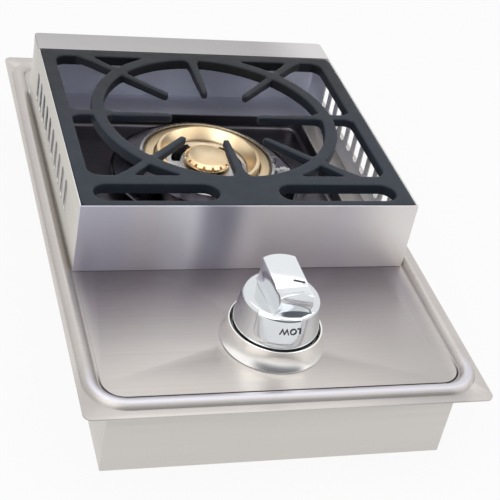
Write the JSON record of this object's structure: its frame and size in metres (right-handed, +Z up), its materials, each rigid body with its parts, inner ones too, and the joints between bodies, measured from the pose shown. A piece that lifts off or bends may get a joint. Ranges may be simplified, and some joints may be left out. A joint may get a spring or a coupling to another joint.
{
  "type": "built in side burner",
  "caption": "Drop-in gas side burner: steel deck with a raised pot frame, cast iron grate, brass ring burner in a well, and a push and turn knob.",
  "frame": {"origin": "middle of the underside, centred under the deck in X and Y", "axes": "+X to the user's right, +Y from the knob to the rear, +Z up"},
  "size_m": [0.33, 0.542, 0.1426],
  "materials": {
    "deck_steel": "fine brushed, long grain",
    "frame_steel": "fine brushed",
    "liner_steel": "satin",
    "well_steel": "pressed, half bright",
    "bowl_steel": "bright spun",
    "grate_iron": "matte enamelled",
    "cast_alloy": "as cast",
    "flame_brass": "polished",
    "plain_brass": "machined",
    "zinc_steel": "zinc plated",
    "igniter_ceramic": "glazed white",
    "black_plastic": "moulded",
    "lead_rubber": "matte",
    "knob_chrome": "bright plated"
  },
  "bodies": {
    "housing": {"deck_panel": "deck_steel", "frame_front_wall": "frame_steel", "frame_left_wall": "frame_steel", "frame_right_wall": "frame_steel", "frame_rear_wall": "frame_steel", "grate_rail_left": "frame_steel", "grate_rail_right": "frame_steel", "liner_front": "liner_steel", "liner_rear": "liner_steel", "liner_left": "liner_steel", "liner_right": "liner_steel", "liner_floor": "liner_steel", "heat_shield": "liner_steel", "burner_well": "well_steel", "drip_bowl": "bowl_steel", "burner_casting": "cast_alloy", "valve_body": "cast_alloy", "valve_bonnet": "cast_alloy", "gas_orifice": "plain_brass", "valve_inlet_nut": "plain_brass", "inlet_union": "plain_brass", "inlet_locknut": "plain_brass", "burner_strap": "zinc_steel", "burner_bolt": "zinc_steel", "strap_screw_left": "zinc_steel", "strap_screw_right": "zinc_steel", "venturi_tube": "zinc_steel", "bonnet_screw_left": "zinc_steel", "bonnet_screw_right": "zinc_steel", "valve_spring": "zinc_steel", "valve_bracket": "zinc_steel", "gas_pipe": "zinc_steel", "igniter_electrode": "zinc_steel", "igniter_bracket": "zinc_steel", "igniter_screw": "zinc_steel", "bezel_screw_left": "zinc_steel", "bezel_screw_right": "zinc_steel", "igniter_ceramic": "igniter_ceramic", "spark_unit": "black_plastic", "ignition_lead": "lead_rubber", "knob_bezel": "knob_chrome"},
    "grate": {"pot_grate": "grate_iron"},
    "flame_rings": {"lower_flame_ring": "flame_brass", "upper_flame_ring": "flame_brass"},
    "flame_cap": {"centre_flame_cap": "flame_brass"},
    "shutter": {"air_shutter": "zinc_steel", "shutter_screw": "zinc_steel"},
    "spring_seat": {"spring_collar": "zinc_steel"},
    "knob": {"control_knob": "knob_chrome", "knob_clip": "zinc_steel", "valve_stem": "plain_brass"}
  },
  "joints": [
    {"name": "grate_lift", "type": "slide", "parent": "housing", "child": "grate", "axis": [0, 0, 1], "range_m": [0, 0.08]},
    {"name": "ring_lift", "type": "slide", "parent": "housing", "child": "flame_rings", "axis": [0, 0, 1], "range_m": [0, 0.028]},
    {"name": "cap_lift", "type": "slide", "parent": "housing", "child": "flame_cap", "axis": [0, 0, 1], "range_m": [0, 0.04]},
    {"name": "shutter_turn", "type": "hinge", "parent": "housing", "child": "shutter", "pos_m": [0, -0.1425, 0.0326], "axis": [0, 1, 0], "range_deg": [0, 60]},
    {"name": "knob_push", "type": "slide", "parent": "housing", "child": "spring_seat", "axis": [0, 0, -1], "range_m": [0, 0.003], "stiffness_N_per_m": 2000, "springref_m": -0.004, "deforming": ["valve_spring"]},
    {"name": "knob_turn", "type": "hinge", "parent": "spring_seat", "child": "knob", "pos_m": [0, -0.188, 0.1], "axis": [0, 0, 1], "range_deg": [0, 180]}
  ]
}
